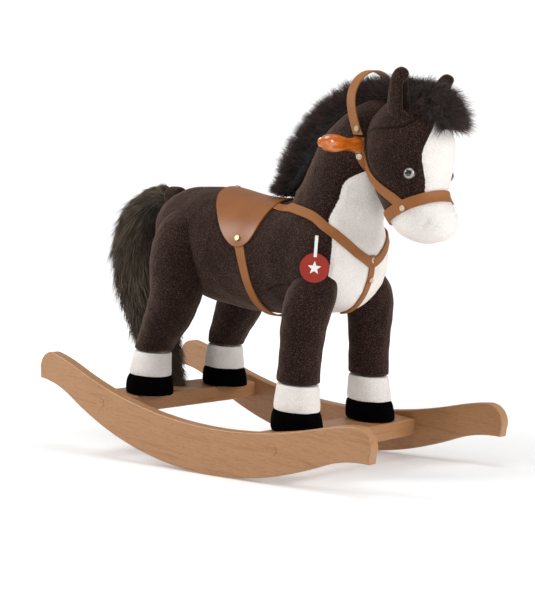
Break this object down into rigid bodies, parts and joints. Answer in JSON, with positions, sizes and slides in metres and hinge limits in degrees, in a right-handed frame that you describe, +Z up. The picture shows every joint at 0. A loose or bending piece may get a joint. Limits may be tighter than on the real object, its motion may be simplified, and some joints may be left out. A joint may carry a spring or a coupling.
{
  "type": "rocking horse",
  "caption": "Stuffed plush rocking horse with leather tack and turned side grips, standing on curved wooden rockers joined by crossbars.",
  "frame": {"origin": "on the floor, midway between the contact lines of the two runners", "axes": "+X towards the horse's head, +Y to the horse's left, +Z up"},
  "size_m": [0.7573, 0.372, 0.656],
  "materials": {
    "wood": "satin",
    "inner_wood": "matt",
    "steel": "brushed",
    "grip_lacquer": "gloss lacquer",
    "brown_plush": "short pile",
    "white_plush": "short pile",
    "black_plush": "short pile",
    "dark_fur": "long pile",
    "tail_fur": "long pile",
    "leather": "satin",
    "brass": "satin",
    "eye_plastic": "gloss",
    "tag_card": "gloss",
    "ribbon": "woven"
  },
  "bodies": {
    "horse": {"back_rail": "inner_wood", "barrel_nuts": "steel", "blaze": "white_plush", "bolt_plugs": "wood", "chest_patch": "white_plush", "crown_rivets": "brass", "eye_washers": "steel", "eyes": "eye_plastic", "forelock": "dark_fur", "frame_screws": "steel", "front_crossbar": "wood", "front_left_hoof": "black_plush", "front_left_leg": "brown_plush", "front_left_sock": "white_plush", "front_right_hoof": "black_plush", "front_right_leg": "brown_plush", "front_right_sock": "white_plush", "front_yoke": "inner_wood", "girth_strap": "leather", "grip_rod": "steel", "grip_washers": "steel", "head": "brown_plush", "head_block": "inner_wood", "left_breast_strap": "leather", "left_cheek_strap": "leather", "left_ear": "brown_plush", "left_grip": "grip_lacquer", "leg_posts": "inner_wood", "locating_dowels": "inner_wood", "mane": "dark_fur", "martingale_strap": "leather", "muzzle": "white_plush", "neck": "brown_plush", "neck_post": "inner_wood", "noseband": "leather", "post_screws": "steel", "rear_crossbar": "wood", "rear_left_hoof": "black_plush", "rear_left_leg": "brown_plush", "rear_left_sock": "white_plush", "rear_right_hoof": "black_plush", "rear_right_leg": "brown_plush", "rear_right_sock": "white_plush", "rear_yoke": "inner_wood", "right_breast_strap": "leather", "right_cheek_strap": "leather", "right_ear": "brown_plush", "right_grip": "grip_lacquer", "runner_bolts": "steel", "runner_left": "wood", "runner_right": "wood", "saddle": "leather", "tack_rivets": "brass", "tag_pin": "ribbon", "torso": "brown_plush"},
    "tail_root": {"tail_dock": "brown_plush"},
    "tail": {"tail": "tail_fur"},
    "hang_tag": {"tag_disc": "tag_card", "tag_ribbon": "ribbon"},
    "crown_strap": {"crown_strap": "leather"}
  },
  "joints": [
    {"name": "tail_sway", "type": "hinge", "parent": "horse", "child": "tail_root", "pos_m": [-0.246, 0, 0.424], "axis": [1, 0, 0], "range_deg": [-10, 10]},
    {"name": "tail_lift", "type": "hinge", "parent": "tail_root", "child": "tail", "pos_m": [-0.268, 0, 0.424], "axis": [0, 1, 0], "range_deg": [0, 45]},
    {"name": "tag_swing", "type": "hinge", "parent": "horse", "child": "hang_tag", "pos_m": [0.171, -0.096, 0.391], "axis": [0.5592, -0.829, 0], "range_deg": [-35, 35]},
    {"name": "crown_strap_tilt", "type": "hinge", "parent": "horse", "child": "crown_strap", "pos_m": [0.206, 0, 0.561], "axis": [0, 1, 0], "range_deg": [-20, 10]}
  ]
}
